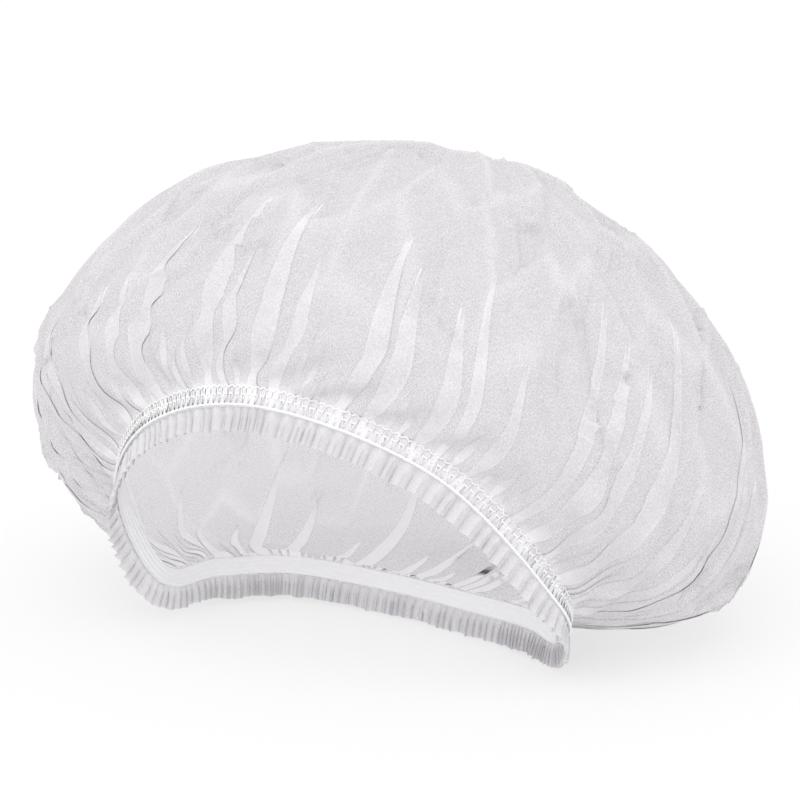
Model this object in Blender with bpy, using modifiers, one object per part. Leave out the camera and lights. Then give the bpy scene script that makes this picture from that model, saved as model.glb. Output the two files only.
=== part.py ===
"""Disposable hair cover cap, lying on its back edge with the mouth raised to the front.

Metres, +Z up. The mouth faces -Y, the puffed crown lies behind it, and the floor is z = 0.
A column of the cloth is named by its angle round the cap: 0 points to +X, 90 to the back lip
on the floor, 180 to -X and 270 to the raised front lip.
"""
import math

import bmesh
import bpy
from mathutils import Matrix, Vector

# Mouth: the loop along the middle of the hem
MOUTH_HALF_WIDTH = 0.080
MOUTH_DEPTH = 0.100
MOUTH_RISE = 0.089
MOUTH_SETBACK = 0.007

# Hem, elastic and frill
HEM_WIDTH = 0.007
HEM_LEAN = math.radians(20.4)
FRILL_WIDTH = 0.008
RUFFLE_DEPTH = 0.0014
ELASTIC_WIDTH = 0.0055
ELASTIC_THICKNESS = 0.0009
CLOTH_WALL = 0.0012
FRILL_WALL = 0.0010
PIECE_CLEARANCE = 0.0003
FLOOR_CLEARANCE = 0.0003

# Puff: the widest loop of the crown, and the dome behind it
PUFF_HALF_WIDTH = 0.133
PUFF_HALF_DEPTH = 0.117
PUFF_CENTRE_Y = 0.014
PUFF_CENTRE_HEIGHT = 0.062
PUFF_TILT = math.radians(26.0)
PUFF_ROLL = math.radians(8.0)
DOME_RISE = 0.1075
DOME_LEAN_BACK = math.radians(32.0)
DOME_LEAN_SIDE = math.radians(6.0)
FLANK_FULLNESS = 0.55
FLOOR_BLEND = 0.006

# Gathers, long folds and dents of the crown
GATHERS = 40
GATHER_DEPTH = 0.0036
GATHER_REACH = 0.040
GATHER_START = 0.007
FOLD_DEPTH = 0.0070
FOLD_WIDTH = 0.020
DENT_DEPTH = 0.0060
DENT_SPAN = 0.036
FLAT_NEAR_FLOOR = 0.012
STEEPEST_FOLD = 0.22

# Mesh
COLUMNS_PER_GATHER = 3
CLOTH_COLUMNS = GATHERS * COLUMNS_PER_GATHER
FLANK_ROW_COUNT = 6
DOME_ROW_COUNT = 8
RUFFLES = 60
COLUMNS_PER_RUFFLE = 3
FRILL_ROW_COUNT = 2
CLOTH_MERGE = 0.00002

# One row for each twelfth of the way round, from +X towards the back lip. The mouth is given as
# shares of its half width, depth and rise, and the puff as a share of its loop and of the dome's rise.
STATION = ("across", "forward", "up", "puff_spread", "puff_lift")
STATIONS = (
    (0.99, 0.37, 0.015, 1.00, -0.055),
    (0.80, 0.24, 0.01, 1.00, -0.015),
    (0.475, 0.12, 0.00, 1.00, -0.005),
    (0.00, 0.00, 0.00, 1.00, 0.00),
    (-0.50, -0.03, 0.01, 1.01, 0.00),
    (-0.78, 0.16, 0.03, 1.02, -0.005),
    (-0.89, 0.43, 0.08, 1.045, -0.025),
    (-0.935, 0.65, 0.51, 1.00, 0.00),
    (-0.58, 0.89, 0.875, 1.00, -0.015),
    (0.015, 1.00, 1.00, 1.015, 0.025),
    (0.70, 0.87, 0.765, 1.015, 0.020),
    (1.09, 0.60, 0.25, 1.01, 0.00),
)

# Long folds: the angle at the hem, how far the fold leans over by its end, where it starts and ends
# (0 at the hem, 1 at the widest loop, 2 at the crown's peak), and shares of the depth and width.
FOLD = ("angle", "lean", "start", "end", "depth", "width")
FOLDS = (
    (205, -8, 0.10, 1.30, 0.8, 1.0),
    (222, 4, 0.10, 1.25, 1.0, 0.9),
    (238, -3, 0.05, 1.45, 0.9, 0.8),
    (252, 5, 0.05, 1.55, 1.0, 1.0),
    (266, 10, 0.05, 1.70, 0.9, 0.9),
    (280, 12, 0.05, 1.35, 0.8, 0.9),
    (296, 14, 0.05, 1.50, 1.0, 1.0),
    (312, 10, 0.10, 1.30, 1.0, 1.1),
    (330, 8, 0.10, 1.40, 0.9, 1.0),
    (350, 4, 0.15, 1.35, 0.9, 1.1),
    (20, 0, 0.20, 1.30, 0.7, 1.2),
    (50, -4, 0.30, 1.40, 0.7, 1.2),
    (95, 3, 0.40, 1.40, 0.7, 1.2),
    (135, -3, 0.30, 1.35, 0.8, 1.2),
    (170, 4, 0.20, 1.30, 0.8, 1.1),
)

# Dents that flatten the dome between its creases: angle, how far up, and shares of depth and span.
DENT = ("angle", "up", "depth", "span")
DENTS = (
    (230, 1.35, 0.8, 0.9),
    (262, 1.50, 1.0, 1.1),
    (300, 1.30, 1.0, 1.0),
    (335, 1.45, 0.9, 1.0),
    (12, 1.30, 0.8, 1.0),
    (60, 1.40, 0.9, 1.2),
    (110, 1.30, 0.8, 1.1),
    (155, 1.45, 0.9, 1.1),
    (195, 1.30, 0.7, 0.9),
    (320, 1.75, 0.8, 1.0),
)


def smooth_step(low, high, value):
    """Rise smoothly from 0 at low to 1 at high."""
    share = min(max((value - low) / (high - low), 0.0), 1.0)
    return share * share * (3.0 - 2.0 * share)


def station_value(name, angle):
    """Read one column of the stations at any angle, on a smooth closed curve through its rows."""
    column = STATION.index(name)
    place = angle / math.tau * len(STATIONS)
    row = math.floor(place)
    step = place - row
    before, start, end, after = (STATIONS[(row + k) % len(STATIONS)][column] for k in (-1, 0, 1, 2))
    slope_in = end - before
    slope_out = after - start
    return (
        start
        + 0.5 * slope_in * step
        + (3.0 * (end - start) - slope_in - 0.5 * slope_out) * step**2
        + (2.0 * (start - end) + 0.5 * slope_in + 0.5 * slope_out) * step**3
    )


def lip_height():
    """Height of the hem's middle at the back lip, which stands on the edge of its frill."""
    return (0.5 * HEM_WIDTH + PIECE_CLEARANCE + FRILL_WIDTH) * math.cos(HEM_LEAN) + FLOOR_CLEARANCE


def mouth_point(angle):
    """Point on the middle line of the hem."""
    return Vector((
        MOUTH_HALF_WIDTH * station_value("across", angle),
        MOUTH_SETBACK - MOUTH_DEPTH * station_value("forward", angle),
        lip_height() + MOUTH_RISE * station_value("up", angle),
    ))


def mouth_frame(angle):
    """Middle of the hem, the way to its free edge, and the way out of the cap."""
    step = math.radians(1.0)
    along = (mouth_point(angle + step) - mouth_point(angle - step)).normalized()
    hang = Vector((0.0, -math.sin(HEM_LEAN), -math.cos(HEM_LEAN)))
    down = (hang - along * hang.dot(along)).normalized()
    return mouth_point(angle), down, down.cross(along)


def corner_stretch(column):
    """How much further an inner face lies along its corner than along a straight stretch."""
    before, here, after = (mouth_point(math.tau * (column + k) / CLOTH_COLUMNS) for k in (-1, 0, 1))
    half_turn = 0.5 * (here - before).angle(after - here)
    return 1.0 / math.cos(half_turn)


def puff_centre():
    return Vector((0.0, PUFF_CENTRE_Y, PUFF_CENTRE_HEIGHT))


def dome_vector():
    """From the middle of the widest loop to the peak of the crown."""
    side = math.sin(DOME_LEAN_SIDE)
    flat = math.cos(DOME_LEAN_SIDE)
    return DOME_RISE * Vector((side, flat * math.sin(DOME_LEAN_BACK), flat * math.cos(DOME_LEAN_BACK)))


def puff_point(angle):
    """Point on the widest loop of the crown."""
    turn = Matrix.Rotation(PUFF_ROLL, 3, "Y") @ Matrix.Rotation(-PUFF_TILT, 3, "X")
    spread = station_value("puff_spread", angle)
    loop = Vector((
        PUFF_HALF_WIDTH * spread * math.cos(angle),
        PUFF_HALF_DEPTH * spread * math.sin(angle),
        DOME_RISE * station_value("puff_lift", angle),
    ))
    return puff_centre() + turn @ loop


def rest_on_floor(point):
    """Cloth that would pass below the floor lies flat on it."""
    if point.z < -FLOOR_BLEND:
        point.z = 0.0
    elif point.z < FLOOR_BLEND:
        point.z = (point.z + FLOOR_BLEND) ** 2 / (4.0 * FLOOR_BLEND)
    return point


def smooth_cloth(angle, up):
    """Crown before its folds: -1 to 0 is the hem, 0 to 1 the flank, 1 to 2 the dome."""
    middle, down, _ = mouth_frame(angle)
    if up <= 0.0:
        return middle + down * HEM_WIDTH * (-0.5 - up)
    edge = puff_point(angle)
    if up >= 1.0:
        turn = math.radians(90.0) * (up - 1.0)
        dome = puff_centre() + (edge - puff_centre()) * math.cos(turn) + dome_vector() * math.sin(turn)
        return rest_on_floor(dome)
    start = middle - down * 0.5 * HEM_WIDTH
    axis = dome_vector().normalized()
    corner = edge - axis * axis.dot(edge - start)
    leave = start + (corner - start) * FLANK_FULLNESS - down * HEM_WIDTH
    arrive = edge + (corner - edge) * FLANK_FULLNESS
    rest = 1.0 - up
    flank = start * rest**3 + leave * 3.0 * rest**2 * up + arrive * 3.0 * rest * up**2 + edge * up**3
    return rest_on_floor(flank)


def cloth_normal(angle, up):
    """Outward direction of the smooth crown."""
    if up > 1.99:
        return dome_vector().normalized()
    turn = math.radians(1.0)
    rise = 0.01
    round_way = smooth_cloth(angle + turn, up) - smooth_cloth(angle - turn, up)
    up_way = smooth_cloth(angle, up + rise) - smooth_cloth(angle, max(up - rise, 0.0))
    return round_way.cross(up_way).normalized()


def angle_between(first, second):
    """Signed difference of two angles, from -pi to pi."""
    return (first - second + math.pi) % math.tau - math.pi


def gather_hollow(column, from_hem):
    """Depth between the ridges of the gathers, which are sharp at the hem and fade into the flank."""
    gather = round(column / COLUMNS_PER_GATHER) % GATHERS
    strength = 0.7 + 0.3 * math.sin(2.4 * gather)
    ridge = 0.0 if column % COLUMNS_PER_GATHER else 1.0
    reach = GATHER_REACH * (1.0 + 0.4 * math.sin(1.7 * gather))
    fade = smooth_step(0.0, GATHER_START, from_hem) * math.exp(-max(from_hem - GATHER_START, 0.0) / reach)
    return GATHER_DEPTH * strength * (1.0 - ridge) * fade


def fold_hollow(angle, up, radius):
    """Depth of the long folds at one place of the crown."""
    depth = 0.0
    for row in FOLDS:
        fold = dict(zip(FOLD, row))
        travel = (up - fold["start"]) / (fold["end"] - fold["start"])
        if travel <= 0.0 or travel >= 1.0:
            continue
        middle = math.radians(fold["angle"] + fold["lean"] * travel)
        aside = abs(angle_between(angle, middle)) * radius / (FOLD_WIDTH * fold["width"])
        if aside < 1.0:
            depth += FOLD_DEPTH * fold["depth"] * (1.0 - aside) * math.sin(math.pi * travel**0.7)
    return depth


def dent_hollow(place, flat):
    """Depth of the dents that flatten the dome."""
    depth = 0.0
    for row, centre in zip(DENTS, flat):
        dent = dict(zip(DENT, row))
        aside = (place - centre).length / (DENT_SPAN * dent["span"])
        depth += DENT_DEPTH * dent["depth"] * (1.0 - smooth_step(0.2, 1.0, aside))
    return depth


def row_height(row):
    """Height name of a row: one row of hem, then the flank, then the dome."""
    if row <= 1:
        return row - 1.0
    flank_row = row - 1
    if flank_row <= FLANK_ROW_COUNT:
        return flank_row / FLANK_ROW_COUNT
    return 1.0 + (flank_row - FLANK_ROW_COUNT) / DOME_ROW_COUNT


def folded_cloth(column, row, dent_places):
    """Point of the finished crown."""
    angle = math.tau * column / CLOTH_COLUMNS
    up = row_height(row)
    place = smooth_cloth(angle, up)
    if up <= 0.0:
        return place
    hem_top = smooth_cloth(angle, 0.0)
    radius = (place - puff_centre()).length
    hollow = gather_hollow(column, (place - hem_top).length) * (1.0 - smooth_step(1.0, 1.8, up))
    hollow += fold_hollow(angle, up, radius)
    hollow += dent_hollow(place, dent_places)
    hollow = min(hollow, STEEPEST_FOLD * (place - hem_top).length)
    hollow *= smooth_step(0.0, FLAT_NEAR_FLOOR, place.z)
    return place - cloth_normal(angle, up) * hollow


def wrapped_grid(columns, rows, place):
    """Grid of cloth whose long side is closed into a loop; place gives the point of a column and row."""
    mesh = bmesh.new()
    bmesh.ops.create_grid(mesh, x_segments=columns, y_segments=rows, size=0.5)
    for vert in mesh.verts:
        column = round((vert.co.x + 0.5) * columns)
        row = round((vert.co.y + 0.5) * rows)
        vert.co = place(column % columns, row)
    bmesh.ops.remove_doubles(mesh, verts=mesh.verts, dist=CLOTH_MERGE)
    return mesh


def finish_piece(name, mesh, material, collection):
    """Turn a bmesh into a named object with its material."""
    bmesh.ops.recalc_face_normals(mesh, faces=mesh.faces)
    data = bpy.data.meshes.new(name)
    mesh.to_mesh(data)
    mesh.free()
    data.materials.append(material)
    data.shade_smooth()
    piece = bpy.data.objects.new(name, data)
    collection.objects.link(piece)
    return piece


def add_wall(piece, thickness, offset):
    """Give an open sheet its thickness."""
    wall = piece.modifiers.new("wall", "SOLIDIFY")
    wall.thickness = thickness
    wall.offset = offset
    wall.use_even_offset = True


def cloth_material(name, colour, roughness):
    """Plain finish of one piece of cloth or elastic."""
    material = bpy.data.materials.new(name)
    material.use_nodes = True
    shader = material.node_tree.nodes["Principled BSDF"]
    shader.inputs["Base Color"].default_value = colour
    shader.inputs["Roughness"].default_value = roughness
    shader.inputs["Metallic"].default_value = 0.0
    return material


def make_crown(material, collection):
    """The puffed cloth with its plain hem, walled towards the hollow."""
    rows = 1 + FLANK_ROW_COUNT + DOME_ROW_COUNT
    dent_places = [smooth_cloth(math.radians(angle), up) for angle, up, _, _ in DENTS]
    mesh = wrapped_grid(
        CLOTH_COLUMNS, rows, lambda column, row: folded_cloth(column, row, dent_places)
    )
    crown = finish_piece("crown", mesh, material, collection)
    add_wall(crown, CLOTH_WALL, -1.0)
    return crown


def frill_point(column, row, columns):
    """Point of the ruffled edge, whose waves grow from the hem to the free edge."""
    middle, down, out = mouth_frame(math.tau * column / columns)
    share = row / FRILL_ROW_COUNT
    from_middle = 0.5 * HEM_WIDTH + PIECE_CLEARANCE + FRILL_WIDTH * share
    wave = math.sin(math.tau * (column % COLUMNS_PER_RUFFLE + 0.25) / COLUMNS_PER_RUFFLE)
    aside = RUFFLE_DEPTH * wave * (0.35 + 0.65 * share) - 0.5 * CLOTH_WALL
    place = middle + down * from_middle + out * aside
    place.z = max(place.z, FLOOR_CLEARANCE)
    return place


def make_hem_frill(material, collection):
    """The free edge of the cloth past the elastic."""
    columns = RUFFLES * COLUMNS_PER_RUFFLE
    mesh = wrapped_grid(columns, FRILL_ROW_COUNT, lambda column, row: frill_point(column, row, columns))
    frill = finish_piece("hem_frill", mesh, material, collection)
    add_wall(frill, FRILL_WALL, 0.0)
    return frill


def make_elastic_band(material, collection):
    """The flat elastic along the inner face of the hem."""
    def place(column, row):
        middle, down, out = mouth_frame(math.tau * column / CLOTH_COLUMNS)
        inner_face = (CLOTH_WALL + PIECE_CLEARANCE) * corner_stretch(column)
        return middle + down * ELASTIC_WIDTH * (0.5 - row) - out * inner_face

    mesh = wrapped_grid(CLOTH_COLUMNS, 1, place)
    elastic = finish_piece("elastic_band", mesh, material, collection)
    add_wall(elastic, ELASTIC_THICKNESS, -1.0)
    return elastic


def centre_on_origin(pieces):
    """Put the origin under the middle of the cap."""
    corners = [vert.co for piece in pieces for vert in piece.data.vertices]
    low = Vector(min(corner[axis] for corner in corners) for axis in range(2))
    high = Vector(max(corner[axis] for corner in corners) for axis in range(2))
    shift = Matrix.Translation((-(low.x + high.x) / 2.0, -(low.y + high.y) / 2.0, 0.0))
    for piece in pieces:
        piece.data.transform(shift)


def main():
    for thing in list(bpy.data.objects):
        bpy.data.objects.remove(thing, do_unlink=True)
    collection = bpy.data.collections.new("hair_cover_cap")
    bpy.context.scene.collection.children.link(collection)
    cloth = cloth_material("nonwoven_cloth", (0.84, 0.84, 0.86, 1.0), 0.75)
    frill_cloth = cloth_material("frill_cloth", (0.90, 0.90, 0.91, 1.0), 0.70)
    elastic = cloth_material("white_elastic", (0.93, 0.93, 0.94, 1.0), 0.55)
    centre_on_origin((
        make_crown(cloth, collection),
        make_hem_frill(frill_cloth, collection),
        make_elastic_band(elastic, collection),
    ))


main()
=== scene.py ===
# %% [markdown]
# A disposable hair cover cap, lying on its back edge with the mouth raised to the front.
# It is one thin sheet of nonwoven cloth, gathered onto a flat elastic, with a ruffled edge past it.
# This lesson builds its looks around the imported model: the camera first, then the cloth, the elastic,
# the ruffle and the stitches, and last the finishes and the light.

# %% Start and load the frame
import math

import bmesh
import bpy
import numpy as np
from mathutils import Matrix, Vector


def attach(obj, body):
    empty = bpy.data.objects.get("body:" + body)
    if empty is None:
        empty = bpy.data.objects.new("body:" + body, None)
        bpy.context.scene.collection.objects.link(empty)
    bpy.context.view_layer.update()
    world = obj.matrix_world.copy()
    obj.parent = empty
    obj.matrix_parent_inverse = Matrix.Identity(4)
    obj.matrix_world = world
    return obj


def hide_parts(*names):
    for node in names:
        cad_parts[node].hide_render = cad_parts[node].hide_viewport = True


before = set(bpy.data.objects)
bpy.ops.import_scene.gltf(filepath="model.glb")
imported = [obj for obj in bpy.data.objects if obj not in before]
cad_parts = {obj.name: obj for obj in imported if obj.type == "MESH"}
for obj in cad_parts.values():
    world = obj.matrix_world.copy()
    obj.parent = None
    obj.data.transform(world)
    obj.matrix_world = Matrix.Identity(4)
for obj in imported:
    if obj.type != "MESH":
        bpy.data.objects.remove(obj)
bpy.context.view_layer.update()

# %% [markdown]
# The camera comes first, because every look is judged through it. It stands a metre away and a little
# above the floor, turned to the right of the mouth. A long lens keeps the cap's proportions flat, as in
# a catalogue picture. The aim point is given from the middle of the cap's own form.

# %% Place the camera
IMAGE_PIXELS = 800
CAMERA_TURN = math.radians(23.4)
CAMERA_RISE = math.radians(13.0)
CAMERA_DISTANCE = 1.0
MILLIMETRES_PER_PIXEL = 0.36
SENSOR_WIDTH = 36.0
AIM_RIGHT = 0.0064
AIM_UP = 0.0783
FORM_PLACE = np.array([0.0036, -0.0178, 0.0])

camera_right = Vector((math.cos(CAMERA_TURN), math.sin(CAMERA_TURN), 0.0))
camera_look = Vector((
    -math.sin(CAMERA_TURN) * math.cos(CAMERA_RISE),
    math.cos(CAMERA_TURN) * math.cos(CAMERA_RISE),
    -math.sin(CAMERA_RISE),
))
camera_up = camera_right.cross(camera_look)
aim = Vector(FORM_PLACE) + camera_right * AIM_RIGHT + camera_up * AIM_UP
camera_data = bpy.data.cameras.new("camera")
camera_data.sensor_width = SENSOR_WIDTH
picture_width = IMAGE_PIXELS * MILLIMETRES_PER_PIXEL / 1000.0
camera_data.lens = SENSOR_WIDTH * CAMERA_DISTANCE / picture_width
camera = bpy.data.objects.new("camera", camera_data)
camera.location = aim - camera_look * CAMERA_DISTANCE
camera.rotation_euler = camera_look.to_track_quat("-Z", "Y").to_euler()
bpy.context.scene.collection.objects.link(camera)
bpy.context.scene.camera = camera
print("camera at", tuple(round(x, 3) for x in camera.location), "lens", round(camera_data.lens, 1))

# %% [markdown]
# The cap's form is a puffed bag: a loop for the mouth, a wider loop for the puff, and a dome behind it.
# Both loops follow twelve stations round the cap, read on a smooth closed curve. The sizes are those
# of the solid model, so that the cloth lands exactly where the solids are.

# %% Sizes of the form
FULL_TURN = 2.0 * math.pi
MOUTH_HALF_WIDTH = 0.080
MOUTH_DEPTH = 0.100
MOUTH_RISE = 0.089
MOUTH_SETBACK = 0.007
HEM_WIDTH = 0.007
HEM_LEAN = math.radians(20.4)
FRILL_WIDTH = 0.008
PIECE_CLEARANCE = 0.0003
LIP_HEIGHT = (0.5 * HEM_WIDTH + PIECE_CLEARANCE + FRILL_WIDTH) * math.cos(HEM_LEAN) + PIECE_CLEARANCE
PUFF_HALF_WIDTH = 0.133
PUFF_HALF_DEPTH = 0.117
PUFF_CENTRE = np.array([0.0, 0.014, 0.062]) + FORM_PLACE
PUFF_TILT = math.radians(26.0)
PUFF_ROLL = math.radians(8.0)
DOME_RISE = 0.1075
DOME_LEAN_BACK = math.radians(32.0)
DOME_LEAN_SIDE = math.radians(6.0)
FLANK_FULLNESS = 0.55
FLOOR_BLEND = 0.006

# A row for each twelfth of the way round: across, forward, up (shares of the mouth's sizes), puff
# spread and puff lift.
STATIONS = np.array((
    (0.99, 0.37, 0.015, 1.00, -0.055),
    (0.80, 0.24, 0.01, 1.00, -0.015),
    (0.475, 0.12, 0.00, 1.00, -0.005),
    (0.00, 0.00, 0.00, 1.00, 0.00),
    (-0.50, -0.03, 0.01, 1.01, 0.00),
    (-0.78, 0.16, 0.03, 1.02, -0.005),
    (-0.89, 0.43, 0.08, 1.045, -0.025),
    (-0.935, 0.65, 0.51, 1.00, 0.00),
    (-0.58, 0.89, 0.875, 1.00, -0.015),
    (0.015, 1.00, 1.00, 1.015, 0.025),
    (0.70, 0.87, 0.765, 1.015, 0.020),
    (1.09, 0.60, 0.25, 1.01, 0.00),
))

# %% Read the form at any place
def stations_at(angle):
    """All the columns of the stations at each angle, on a smooth closed curve."""
    place = np.asarray(angle) / FULL_TURN * len(STATIONS)
    row = np.floor(place).astype(int)
    step = (place - row)[..., None]
    before, start, end, after = (STATIONS[(row + k) % len(STATIONS)] for k in (-1, 0, 1, 2))
    slope_in = 0.5 * (end - before)
    slope_out = 0.5 * (after - start)
    bend = 3.0 * (end - start) - 2.0 * slope_in - slope_out
    twist = 2.0 * (start - end) + slope_in + slope_out
    return start + slope_in * step + bend * step**2 + twist * step**3


def unit(vectors):
    return vectors / (np.linalg.norm(vectors, axis=-1, keepdims=True) + 1e-12)


def mouth_points(angle):
    across, forward, up = np.moveaxis(stations_at(angle)[..., :3], -1, 0)
    place = (MOUTH_HALF_WIDTH * across, MOUTH_SETBACK - MOUTH_DEPTH * forward, LIP_HEIGHT + MOUTH_RISE * up)
    return np.stack(place, -1) + FORM_PLACE


def mouth_frame(angle):
    """Middle of the hem, the way to its free edge, the way out of the cap and the way along."""
    step = math.radians(1.0)
    along = unit(mouth_points(angle + step) - mouth_points(angle - step))
    hang = np.array([0.0, -math.sin(HEM_LEAN), -math.cos(HEM_LEAN)])
    down = unit(hang - along * (along @ hang)[..., None])
    return mouth_points(angle), down, np.cross(down, along), along


dome = DOME_RISE * np.array([
    math.sin(DOME_LEAN_SIDE),
    math.cos(DOME_LEAN_SIDE) * math.sin(DOME_LEAN_BACK),
    math.cos(DOME_LEAN_SIDE) * math.cos(DOME_LEAN_BACK),
])
puff_turn = np.array(Matrix.Rotation(PUFF_ROLL, 3, "Y") @ Matrix.Rotation(-PUFF_TILT, 3, "X"))


def puff_points(angle):
    spread, lift = np.moveaxis(stations_at(angle)[..., 3:], -1, 0)
    across = PUFF_HALF_WIDTH * spread * np.cos(angle)
    forward = PUFF_HALF_DEPTH * spread * np.sin(angle)
    loop = (across, forward, DOME_RISE * lift)
    return PUFF_CENTRE + np.stack(loop, -1) @ puff_turn.T


def rest_on_floor(points):
    """Cloth that would pass below the floor lies flat on it."""
    height = points[..., 2]
    eased = (height + FLOOR_BLEND) ** 2 / (4.0 * FLOOR_BLEND)
    points[..., 2] = np.where(height < -FLOOR_BLEND, 0.0, np.where(height < FLOOR_BLEND, eased, height))
    return points


def smooth_form(angle, flank_steps=80, dome_steps=160):
    """The crown without folds, as rows of points from the hem's top to the peak."""
    middle, down, _, _ = mouth_frame(angle)
    edge = puff_points(angle)
    start = middle - down * 0.5 * HEM_WIDTH
    axis = unit(dome)
    corner = edge - axis * ((edge - start) @ axis)[:, None]
    leave = start + (corner - start) * FLANK_FULLNESS - down * HEM_WIDTH
    arrive = edge + (corner - edge) * FLANK_FULLNESS
    up = np.linspace(0.0, 1.0, flank_steps + 1)[:, None, None]
    rest = 1.0 - up
    flank = start * rest**3 + leave * 3.0 * rest**2 * up + arrive * 3.0 * rest * up**2 + edge * up**3
    turn = 0.5 * math.pi * np.linspace(0.0, 1.0, dome_steps + 1)[1:, None, None]
    crown = PUFF_CENTRE + (edge - PUFF_CENTRE) * np.cos(turn) + dome * np.sin(turn)
    return rest_on_floor(np.concatenate([flank, crown]))


probe = smooth_form(np.arange(72) / 72 * FULL_TURN)
print("form reaches", probe.min((0, 1)).round(3), probe.max((0, 1)).round(3))

# %% [markdown]
# Cloth is easiest to fold on a regular grid: columns run round the cap and rows run from the hem to the
# peak, evenly along the cloth. Every later step reads or moves this grid, and it becomes a mesh at the end.

# %% Lay the form out as an even grid
def even_grid(columns, rows):
    """Angles, points (row, column) and the length of cloth from hem to peak in each column."""
    angle = np.arange(columns) / columns * FULL_TURN
    fine = smooth_form(angle)
    steps = np.linalg.norm(np.diff(fine, axis=0), axis=2)
    reach = np.concatenate([np.zeros((1, columns)), np.cumsum(steps, 0)])
    share = np.linspace(0.0, 1.0, rows + 1)
    points = np.empty((rows + 1, columns, 3))
    for column in range(columns):
        place = share * reach[-1, column]
        for axis in range(3):
            points[:, column, axis] = np.interp(place, reach[:, column], fine[:, column, axis])
    return angle, points, reach[-1]


def grid_normals(points):
    """The way out of the cloth at each point of the grid."""
    round_way = np.roll(points, -1, 1) - np.roll(points, 1, 1)
    return unit(np.cross(round_way, np.gradient(points, axis=0)))


def ring_steps(points):
    """Distance from each point to the next one round the cap."""
    return np.linalg.norm(np.roll(points, -1, 1) - points, axis=2)


def cloth_area(points):
    side = points[1:] - points[:-1]
    across = np.roll(points, -1, 1)[:-1] - points[:-1]
    back = np.roll(points, -1, 1)[1:] - points[1:]
    first = np.linalg.norm(np.cross(side, across), axis=2)
    second = np.linalg.norm(np.cross(np.roll(points, -1, 1)[1:] - np.roll(points, -1, 1)[:-1], back), axis=2)
    return 0.5 * float((first + second).sum())


COARSE_COLUMNS, COARSE_ROWS = 150, 39
coarse_angle, coarse_form, coarse_reach = even_grid(COARSE_COLUMNS, COARSE_ROWS)
print("cloth from hem to peak, m", coarse_reach.min().round(3), "to", coarse_reach.max().round(3))

# %% [markdown]
# A packed nonwoven cap isn't round: its crown breaks into long flat facets with crisp ridges between
# them, and its outline looks like a polygon. The facets here are the cells that form round scattered
# points, stretched along the way from hem to peak. The cloth stands out along the cells' borders and
# sinks a little between them, and each border gets its own strength.

# %% Break the crown into facets
FACETS = 150
FACET_STRETCH = 0.38
RIDGE_HEIGHT = 0.0062
RIDGE_SPREAD = 0.0080
RIDGE_START = 0.016
RIDGE_GROWTH = 0.040
RIDGE_LINE = 0.0009
VALLEY_SHARE = 0.45
facet_picker = np.random.default_rng(11)


def smooth_step(low, high, value):
    share = np.clip((value - low) / (high - low), 0.0, 1.0)
    return share * share * (3.0 - 2.0 * share)


def scattered_facets(points, reach):
    """Middles of the facets, spread evenly over the form, with the way to the peak at each."""
    area = ring_steps(points) * reach / (len(points) - 1)
    weight = (area / area.sum()).ravel()
    spots = points.reshape(-1, 3)
    ways = unit(np.gradient(points, axis=0)).reshape(-1, 3)
    chosen = []
    for _ in range(FACETS):
        tries = facet_picker.choice(len(weight), size=8, p=weight)
        if chosen:
            apart = spots[tries][:, None] - spots[chosen][None]
            along = np.einsum("ijk,ik->ij", apart, ways[tries])
            apart = np.einsum("ijk,ijk->ij", apart, apart) - (1.0 - FACET_STRETCH**2) * along**2
            tries = tries[np.argsort(-apart.min(1))]
        chosen.append(int(tries[0]))
    return spots[chosen], ways[chosen]


facet_form, facet_reach = even_grid(180, 60)[1:]
facet_middles, facet_ways = scattered_facets(facet_form, facet_reach)
border_strength = facet_picker.uniform(0.15, 1.0, (FACETS, FACETS))
border_strength = np.maximum(border_strength, border_strength.T)
border_strength = np.where(facet_picker.uniform(size=(FACETS, FACETS)) < 0.25, 0.15, border_strength)
print("facets", len(facet_middles))


def ridges(points, reach):
    """How far the cloth stands out at each point, and how close it is to a ridge."""
    height = np.zeros(points.shape[:2])
    nearness = np.zeros(points.shape[:2])
    for row, spots in enumerate(points):
        apart = spots[:, None] - facet_middles
        along = (apart * facet_ways).sum(2)
        gaps = (apart**2).sum(2) - (1.0 - FACET_STRETCH**2) * along**2
        names = np.argsort(gaps, axis=1)[:, :3]
        gaps = np.take_along_axis(gaps, names, 1)
        for rank in (1, 2):
            between = np.linalg.norm(facet_middles[names[:, 0]] - facet_middles[names[:, rank]], axis=1)
            away = (gaps[:, rank] - gaps[:, 0]) / (2.0 * between)
            strength = border_strength[names[:, 0], names[:, rank]]
            height[row] = np.maximum(height[row], strength * np.exp(-away / RIDGE_SPREAD))
            nearness[row] = np.maximum(nearness[row], strength * np.exp(-((away / RIDGE_LINE) ** 2)))
    share = np.linspace(0.0, 1.0, len(points))[:, None]
    grown = smooth_step(RIDGE_START, RIDGE_START + RIDGE_GROWTH, share * reach)
    grown = grown * smooth_step(0.0, 0.012, points[..., 2]) * (1.0 - smooth_step(0.9, 1.0, share))
    return (height - VALLEY_SHARE) * RIDGE_HEIGHT * grown, nearness * grown


def faceted_form(columns, rows):
    angle, points, reach = even_grid(columns, rows)
    height, nearness = ridges(points, reach)
    return angle, points + grid_normals(points) * height[..., None], reach, nearness


# %% [markdown]
# Gathers come from too much cloth in too short a ring. The cloth is longer round the cap than the form
# is, most of all at the elastic, and it has to buckle. This small cloth solver works on the grid itself:
# each link of the cloth pulls or pushes its two ends to its own length, a bending term keeps folds from
# getting too sharp, and a weak pull keeps the bag's form. It runs on a coarse grid first and then on a
# finer one, which is far quicker than a fine grid alone, and gives the same folds each time.

# %% Buckle the cloth
HEM_EXCESS = 0.12
HEM_EXCESS_REACH = 0.025
CROWN_EXCESS = 0.012
CROWN_PULL = 9.0
SEED_WAVES = ((60, 3, 0.0008, 0.030), (30, 4, 0.0010, 0.080))


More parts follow.
